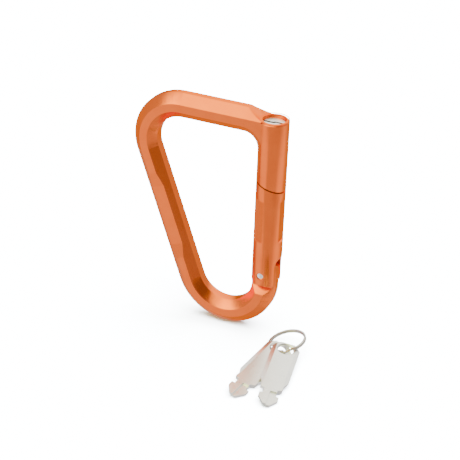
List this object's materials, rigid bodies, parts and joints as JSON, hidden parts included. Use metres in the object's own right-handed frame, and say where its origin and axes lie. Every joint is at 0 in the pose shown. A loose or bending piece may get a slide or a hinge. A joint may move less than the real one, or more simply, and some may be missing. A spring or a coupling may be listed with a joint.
{
  "type": "locking carabiner keyring",
  "caption": "Orange D-shaped keyring carabiner with a sprung gate locked by a small key cylinder, and its keys on a split ring.",
  "frame": {"origin": "centre of the lock barrel's rim, on the axis shared by the lock and the gate", "axes": "+Z out of the lock, +X towards the gate side, -Y the front face"},
  "size_m": [0.0855, 0.0585, 0.0981],
  "materials": {
    "orange_anodised": "satin orange anodising",
    "plug_steel": "satin",
    "pin_steel": "satin",
    "lock_steel": "machined",
    "spring_steel": "drawn wire",
    "brass": "machined",
    "ring_nickel": "polished nickel plate",
    "key_nickel": "satin nickel plate"
  },
  "bodies": {
    "frame": {"frame": "orange_anodised", "bolt_bush": "brass"},
    "gate": {"gate": "orange_anodised", "bolt_keeper": "lock_steel", "gate_spring": "spring_steel", "hinge_pin": "pin_steel"},
    "plunger": {"gate_plunger": "lock_steel"},
    "plug": {"lock_plug": "plug_steel", "disc_spacers": "lock_steel", "retaining_clip": "lock_steel", "lock_cam": "lock_steel", "detent_spring": "spring_steel", "detent_ball": "lock_steel"},
    "disc_1": {"disc_1": "brass"},
    "disc_2": {"disc_2": "brass"},
    "disc_3": {"disc_3": "brass"},
    "disc_4": {"disc_4": "brass"},
    "sidebar": {"sidebar": "lock_steel"},
    "bolt": {"lock_bolt": "lock_steel", "bolt_guide_pin": "lock_steel"},
    "ring": {"split_ring": "ring_nickel"},
    "key_front": {"key_front": "key_nickel"},
    "key_back": {"key_back": "key_nickel"}
  },
  "joints": [
    {"name": "gate_swing", "type": "hinge", "parent": "frame", "child": "gate", "pos_m": [-0.0005, 0, -0.0674], "axis": [0, -1, 0], "range_deg": [0, 28], "stiffness_Nm_per_rad": 0.05, "springref_deg": -22.92},
    {"name": "plunger_slide", "type": "slide", "parent": "gate", "child": "plunger", "axis": [0, 0, 1], "range_m": [0, 0.0008], "deforming": ["gate_spring"]},
    {"name": "plug_turn", "type": "hinge", "parent": "frame", "child": "plug", "pos_m": [0, 0, -0.005], "axis": [0, 0, 1], "range_deg": [0, 90]},
    {"name": "bolt_slide", "type": "slide", "parent": "frame", "child": "bolt", "axis": [0, 0, -1], "range_m": [0, 0.004]},
    {"name": "disc_1_turn", "type": "hinge", "parent": "plug", "child": "disc_1", "pos_m": [0, 0, -0.0044], "axis": [0, 0, 1], "range_deg": [0, 60]},
    {"name": "disc_2_turn", "type": "hinge", "parent": "plug", "child": "disc_2", "pos_m": [0, 0, -0.00585], "axis": [0, 0, 1], "range_deg": [0, 60]},
    {"name": "disc_3_turn", "type": "hinge", "parent": "plug", "child": "disc_3", "pos_m": [0, 0, -0.0073], "axis": [0, 0, 1], "range_deg": [0, 60]},
    {"name": "disc_4_turn", "type": "hinge", "parent": "plug", "child": "disc_4", "pos_m": [0, 0, -0.00875], "axis": [0, 0, 1], "range_deg": [0, 60]},
    {"name": "sidebar_slide", "type": "slide", "parent": "plug", "child": "sidebar", "axis": [0, 1, 0], "range_m": [0, 0.0004]},
    {"name": "keyring_lift", "type": "slide", "parent": "frame", "child": "ring", "axis": [0, 0, 1], "range_m": [0, 0.06]},
    {"name": "key_front_fan", "type": "hinge", "parent": "ring", "child": "key_front", "pos_m": [0.01707, -0.01799, -0.09084], "axis": [0.1452, -0.0448, 0.9884], "range_deg": [-15, 0]},
    {"name": "key_back_fan", "type": "hinge", "parent": "ring", "child": "key_back", "pos_m": [0.01293, -0.01803, -0.092], "axis": [0.1551, -0.0569, 0.9863], "range_deg": [-12, 0]}
  ],
  "couplings": [
    {"joint": "plunger_slide", "follows": "gate_swing", "m_per_rad": 0.0015},
    {"joint": "plug_turn", "follows": "bolt_slide", "rad_per_m": 392.7}
  ]
}
